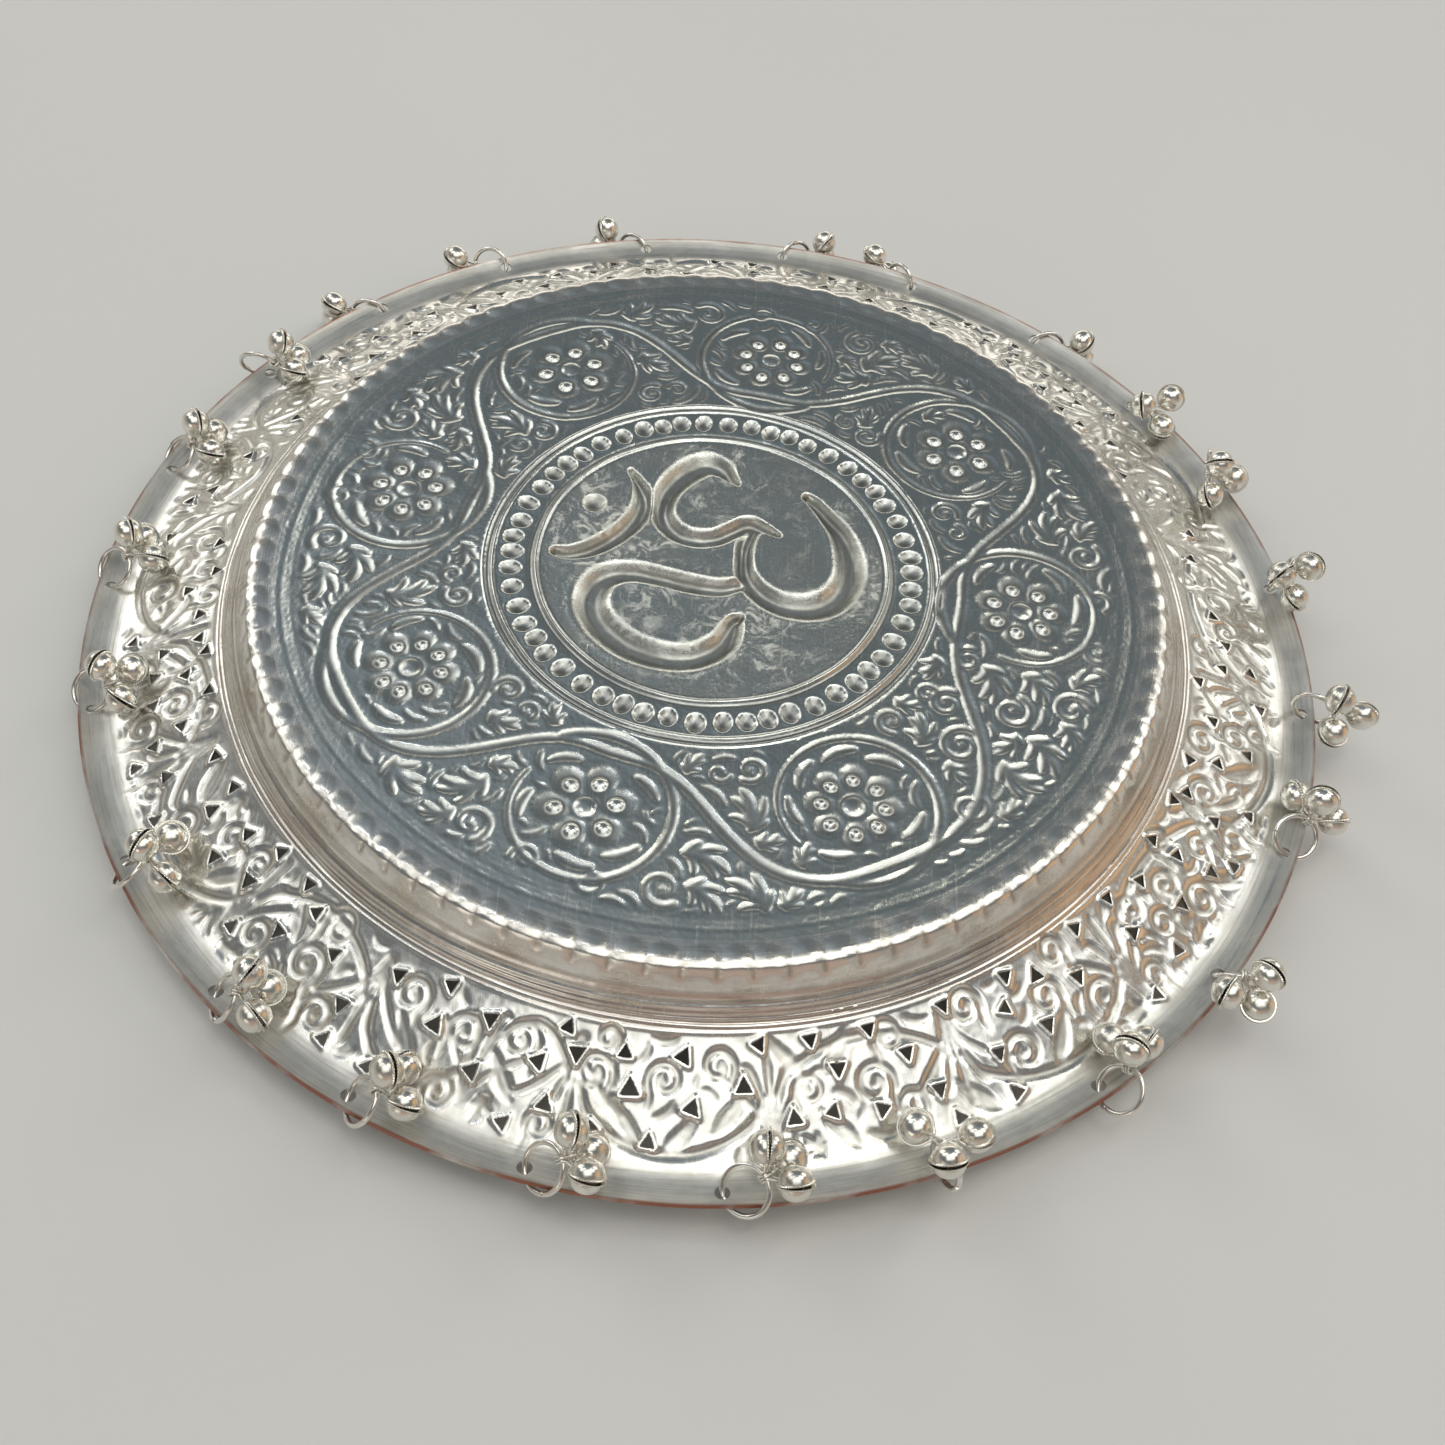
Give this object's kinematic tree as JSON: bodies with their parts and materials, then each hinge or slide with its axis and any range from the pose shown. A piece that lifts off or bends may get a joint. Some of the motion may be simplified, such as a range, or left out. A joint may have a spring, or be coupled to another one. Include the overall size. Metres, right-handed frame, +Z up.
{
  "type": "offering plate",
  "caption": "Round silver-plated offering plate, shown face down: chased base, pierced scrollwork flange, and jump rings with jingle bells hanging from the rim.",
  "frame": {"origin": "centre of the base's flat underside, on the plate's axis", "axes": "+Z up, out of the underside of the base: the plate lies face down, as pictured, so the dish opens towards -Z and the lowest bells, tucked under the back of the rim, touch the table at about z = -30 mm. +X and +Y lie in the plane of the underside, with -Y towards the viewer. Turn the part 180 degrees about X to use it dish up."},
  "size_m": [0.3175, 0.3146, 0.0302],
  "materials": {
    "plate_silver": "polished silver plate with chased relief, fine scratches and light tarnish in the recesses",
    "ring_silver": "polished silver-plated wire",
    "bell_silver": "polished silver-plated sheet with milled lips"
  },
  "bodies": {
    "plate": {"plate": "plate_silver"},
    "ring_01": {"jump_ring_01": "ring_silver"},
    "bells_01": {"bell_cluster_01": "bell_silver"},
    "ring_02": {"jump_ring_02": "ring_silver"},
    "bells_02": {"bell_cluster_02": "bell_silver"},
    "ring_03": {"jump_ring_03": "ring_silver"},
    "bells_03": {"bell_cluster_03": "bell_silver"},
    "ring_04": {"jump_ring_04": "ring_silver"},
    "bells_04": {"bell_cluster_04": "bell_silver"},
    "ring_05": {"jump_ring_05": "ring_silver"},
    "bells_05": {"bell_cluster_05": "bell_silver"},
    "ring_06": {"jump_ring_06": "ring_silver"},
    "bells_06": {"bell_cluster_06": "bell_silver"},
    "ring_07": {"jump_ring_07": "ring_silver"},
    "bells_07": {"bell_cluster_07": "bell_silver"},
    "ring_08": {"jump_ring_08": "ring_silver"},
    "bells_08": {"bell_cluster_08": "bell_silver"},
    "ring_09": {"jump_ring_09": "ring_silver"},
    "bells_09": {"bell_cluster_09": "bell_silver"},
    "ring_10": {"jump_ring_10": "ring_silver"},
    "bells_10": {"bell_cluster_10": "bell_silver"},
    "ring_11": {"jump_ring_11": "ring_silver"},
    "bells_11": {"bell_cluster_11": "bell_silver"},
    "ring_12": {"jump_ring_12": "ring_silver"},
    "bells_12": {"bell_cluster_12": "bell_silver"},
    "ring_13": {"jump_ring_13": "ring_silver"},
    "bells_13": {"bell_cluster_13": "bell_silver"},
    "ring_14": {"jump_ring_14": "ring_silver"},
    "bells_14": {"bell_cluster_14": "bell_silver"},
    "ring_15": {"jump_ring_15": "ring_silver"},
    "bells_15": {"bell_cluster_15": "bell_silver"},
    "ring_16": {"jump_ring_16": "ring_silver"},
    "bells_16": {"bell_cluster_16": "bell_silver"},
    "ring_17": {"jump_ring_17": "ring_silver"},
    "bells_17": {"bell_cluster_17": "bell_silver"},
    "ring_18": {"jump_ring_18": "ring_silver"},
    "bells_18": {"bell_cluster_18": "bell_silver"},
    "ring_19": {"jump_ring_19": "ring_silver"},
    "bells_19": {"bell_cluster_19": "bell_silver"},
    "ring_20": {"jump_ring_20": "ring_silver"},
    "bells_20": {"bell_cluster_20": "bell_silver"},
    "ring_21": {"jump_ring_21": "ring_silver"},
    "bells_21": {"bell_cluster_21": "bell_silver"},
    "ring_22": {"jump_ring_22": "ring_silver"},
    "bells_22": {"bell_cluster_22": "bell_silver"},
    "ring_23": {"jump_ring_23": "ring_silver"},
    "bells_23": {"bell_cluster_23": "bell_silver"}
  },
  "joints": [
    {"name": "ring_01_swing", "type": "hinge", "parent": "plate", "child": "ring_01", "pos_m": [0.14702, 0.0254, -0.02126], "axis": [0.8508, -0.4626, -0.2493], "range_deg": [-63, 2]},
    {"name": "bells_01_slide", "type": "hinge", "parent": "ring_01", "child": "bells_01", "pos_m": [0.14943, 0.02789, -0.01766], "axis": [0.8508, -0.4626, -0.2493], "range_deg": [-99, 0]},
    {"name": "ring_02_swing", "type": "hinge", "parent": "plate", "child": "ring_02", "pos_m": [0.1356, 0.06223, -0.02126], "axis": [0.962, -0.1219, 0.2442], "range_deg": [-60, 0]},
    {"name": "bells_02_slide", "type": "hinge", "parent": "ring_02", "child": "bells_02", "pos_m": [0.13504, 0.06542, -0.01745], "axis": [0.962, -0.1219, 0.2442], "range_deg": [-99, 0]},
    {"name": "ring_03_swing", "type": "hinge", "parent": "plate", "child": "ring_03", "pos_m": [0.11676, 0.09289, -0.02126], "axis": [-0.1116, -0.6326, -0.7664], "range_deg": [0, 11]},
    {"name": "bells_03_slide", "type": "hinge", "parent": "ring_03", "child": "bells_03", "pos_m": [0.12023, 0.08988, -0.01928], "axis": [-0.1116, -0.6326, -0.7664], "range_deg": [-1, 26]},
    {"name": "ring_04_swing", "type": "hinge", "parent": "plate", "child": "ring_04", "pos_m": [0.0903, 0.11877, -0.02126], "axis": [0.0856, -0.973, 0.2142], "range_deg": [0, 4]},
    {"name": "bells_04_slide", "type": "hinge", "parent": "ring_04", "child": "bells_04", "pos_m": [0.09463, 0.11861, -0.02376], "axis": [0.0856, -0.973, 0.2142], "range_deg": [-99, 12]},
    {"name": "ring_05_swing", "type": "hinge", "parent": "plate", "child": "ring_05", "pos_m": [0.05393, 0.13911, -0.02126], "axis": [0.7682, 0.6338, -0.0907], "range_deg": [-16, 2]},
    {"name": "bells_05_slide", "type": "hinge", "parent": "ring_05", "child": "bells_05", "pos_m": [0.05074, 0.14287, -0.02205], "axis": [0.7682, 0.6338, -0.0907], "range_deg": [-99, 6]},
    {"name": "ring_06_swing", "type": "hinge", "parent": "plate", "child": "ring_06", "pos_m": [0.01414, 0.14853, -0.02126], "axis": [0.5395, -0.7714, 0.3375], "range_deg": [-2, 3]},
    {"name": "bells_06_slide", "type": "hinge", "parent": "ring_06", "child": "bells_06", "pos_m": [0.0183, 0.15065, -0.02306], "axis": [0.5395, -0.7714, 0.3375], "range_deg": [-94, 4]},
    {"name": "ring_07_swing", "type": "hinge", "parent": "plate", "child": "ring_07", "pos_m": [-0.02773, 0.1466, -0.02126], "axis": [0.482, 0.8325, -0.2732], "range_deg": [-1, 0]},
    {"name": "bells_07_slide", "type": "hinge", "parent": "ring_07", "child": "bells_07", "pos_m": [-0.03192, 0.14832, -0.02339], "axis": [0.482, 0.8325, -0.2732], "range_deg": [-99, 1]},
    {"name": "ring_08_swing", "type": "hinge", "parent": "plate", "child": "ring_08", "pos_m": [-0.06881, 0.13238, -0.02126], "axis": [0.2187, 0.8524, -0.4749], "range_deg": [0, 2]},
    {"name": "bells_08_slide", "type": "hinge", "parent": "ring_08", "child": "bells_08", "pos_m": [-0.07369, 0.13343, -0.02164], "axis": [0.2187, 0.8524, -0.4749], "range_deg": [-1, 16]},
    {"name": "ring_09_swing", "type": "hinge", "parent": "plate", "child": "ring_09", "pos_m": [-0.10179, 0.10909, -0.02126], "axis": [-0.0061, 0.9912, -0.1323], "range_deg": [0, 3]},
    {"name": "bells_09_slide", "type": "hinge", "parent": "ring_09", "child": "bells_09", "pos_m": [-0.10606, 0.10872, -0.02383], "axis": [-0.0061, 0.9912, -0.1323], "range_deg": [-99, 9]},
    {"name": "ring_10_swing", "type": "hinge", "parent": "plate", "child": "ring_10", "pos_m": [-0.12758, 0.07736, -0.02126], "axis": [0.0556, 0.9632, 0.263], "range_deg": [-63, 0]},
    {"name": "bells_10_slide", "type": "hinge", "parent": "ring_10", "child": "bells_10", "pos_m": [-0.1299, 0.07632, -0.01696], "axis": [0.0556, 0.9632, 0.263], "range_deg": [-99, 0]},
    {"name": "ring_11_swing", "type": "hinge", "parent": "plate", "child": "ring_11", "pos_m": [-0.14459, 0.0368, -0.02126], "axis": [0.5387, 0.2891, -0.7913], "range_deg": [-2, 0]},
    {"name": "bells_11_slide", "type": "hinge", "parent": "ring_11", "child": "bells_11", "pos_m": [-0.14343, 0.04106, -0.01891], "axis": [0.5387, 0.2891, -0.7913], "range_deg": [-9, 1]},
    {"name": "ring_12_swing", "type": "hinge", "parent": "plate", "child": "ring_12", "pos_m": [-0.14912, -0.00488, -0.02126], "axis": [0.458, 0.4546, -0.7639], "range_deg": [-8, 0]},
    {"name": "bells_12_slide", "type": "hinge", "parent": "ring_12", "child": "bells_12", "pos_m": [-0.14906, -0.0006, -0.01868], "axis": [0.458, 0.4546, -0.7639], "range_deg": [-17, 1]},
    {"name": "ring_13_swing", "type": "hinge", "parent": "plate", "child": "ring_13", "pos_m": [-0.14281, -0.04319, -0.02126], "axis": [0.3109, 0.538, -0.7835], "range_deg": [-47, 0]},
    {"name": "bells_13_slide", "type": "hinge", "parent": "ring_13", "child": "bells_13", "pos_m": [-0.144, -0.03898, -0.01884], "axis": [0.3109, 0.538, -0.7835], "range_deg": [-76, 1]},
    {"name": "ring_14_swing", "type": "hinge", "parent": "plate", "child": "ring_14", "pos_m": [-0.12372, -0.08339, -0.02126], "axis": [-0.6542, 0.2217, 0.7231], "range_deg": [-10, 0]},
    {"name": "bells_14_slide", "type": "hinge", "parent": "ring_14", "child": "bells_14", "pos_m": [-0.12172, -0.08693, -0.01836], "axis": [-0.6542, 0.2217, 0.7231], "range_deg": [-20, 0]},
    {"name": "ring_15_swing", "type": "hinge", "parent": "plate", "child": "ring_15", "pos_m": [-0.09703, -0.11334, -0.02126], "axis": [-0.7639, -0.0972, 0.6379], "range_deg": [-4, 2]},
    {"name": "bells_15_slide", "type": "hinge", "parent": "ring_15", "child": "bells_15", "pos_m": [-0.0941, -0.11593, -0.01815], "axis": [-0.7639, -0.0972, 0.6379], "range_deg": [-10, 2]},
    {"name": "ring_16_swing", "type": "hinge", "parent": "plate", "child": "ring_16", "pos_m": [-0.06521, -0.13419, -0.02126], "axis": [-0.7101, -0.1023, 0.6966], "range_deg": [-9, 0]},
    {"name": "bells_16_slide", "type": "hinge", "parent": "ring_16", "child": "bells_16", "pos_m": [-0.0619, -0.13636, -0.0182], "axis": [-0.7101, -0.1023, 0.6966], "range_deg": [-13, 0]},
    {"name": "ring_17_swing", "type": "hinge", "parent": "plate", "child": "ring_17", "pos_m": [-0.02787, -0.14657, -0.02126], "axis": [-0.584, -0.3987, 0.7071], "range_deg": [0, 2]},
    {"name": "bells_17_slide", "type": "hinge", "parent": "ring_17", "child": "bells_17", "pos_m": [-0.02385, -0.14741, -0.01841], "axis": [-0.584, -0.3987, 0.7071], "range_deg": [-2, 6]},
    {"name": "ring_18_swing", "type": "hinge", "parent": "plate", "child": "ring_18", "pos_m": [0.01167, -0.14874, -0.02126], "axis": [-0.3595, -0.5012, 0.7871], "range_deg": [0, 3]},
    {"name": "bells_18_slide", "type": "hinge", "parent": "ring_18", "child": "bells_18", "pos_m": [0.0162, -0.14868, -0.01915], "axis": [-0.3595, -0.5012, 0.7871], "range_deg": [-1, 6]},
    {"name": "ring_19_swing", "type": "hinge", "parent": "plate", "child": "ring_19", "pos_m": [0.05429, -0.13897, -0.02126], "axis": [-0.8938, -0.4389, 0.0922], "range_deg": [-63, 7]},
    {"name": "bells_19_slide", "type": "hinge", "parent": "ring_19", "child": "bells_19", "pos_m": [0.05576, -0.14106, -0.01696], "axis": [-0.8938, -0.4389, 0.0922], "range_deg": [-99, 13]},
    {"name": "ring_20_swing", "type": "hinge", "parent": "plate", "child": "ring_20", "pos_m": [0.08915, -0.11964, -0.02126], "axis": [-0.6282, -0.2759, 0.7275], "range_deg": [-54, 1]},
    {"name": "bells_20_slide", "type": "hinge", "parent": "ring_20", "child": "bells_20", "pos_m": [0.09299, -0.12144, -0.01862], "axis": [-0.6282, -0.2759, 0.7275], "range_deg": [-99, 3]},
    {"name": "ring_21_swing", "type": "hinge", "parent": "plate", "child": "ring_21", "pos_m": [0.11812, -0.09115, -0.02126], "axis": [0.0051, -0.8818, -0.4716], "range_deg": [-63, 1]},
    {"name": "bells_21_slide", "type": "hinge", "parent": "ring_21", "child": "bells_21", "pos_m": [0.12147, -0.09288, -0.01798], "axis": [0.0051, -0.8818, -0.4716], "range_deg": [-99, 35]},
    {"name": "ring_22_swing", "type": "hinge", "parent": "plate", "child": "ring_22", "pos_m": [0.13764, -0.05759, -0.02126], "axis": [0.077, -0.5955, 0.7996], "range_deg": [0, 2]},
    {"name": "bells_22_slide", "type": "hinge", "parent": "ring_22", "child": "bells_22", "pos_m": [0.1406, -0.05423, -0.01904], "axis": [0.077, -0.5955, 0.7996], "range_deg": [-2, 24]},
    {"name": "ring_23_swing", "type": "hinge", "parent": "plate", "child": "ring_23", "pos_m": [0.14834, -0.01599, -0.02126], "axis": [-0.4006, -0.9128, -0.0802], "range_deg": [-63, 0]},
    {"name": "bells_23_slide", "type": "hinge", "parent": "ring_23", "child": "bells_23", "pos_m": [0.15012, -0.01717, -0.01674], "axis": [-0.4006, -0.9128, -0.0802], "range_deg": [-13, 93]}
  ]
}
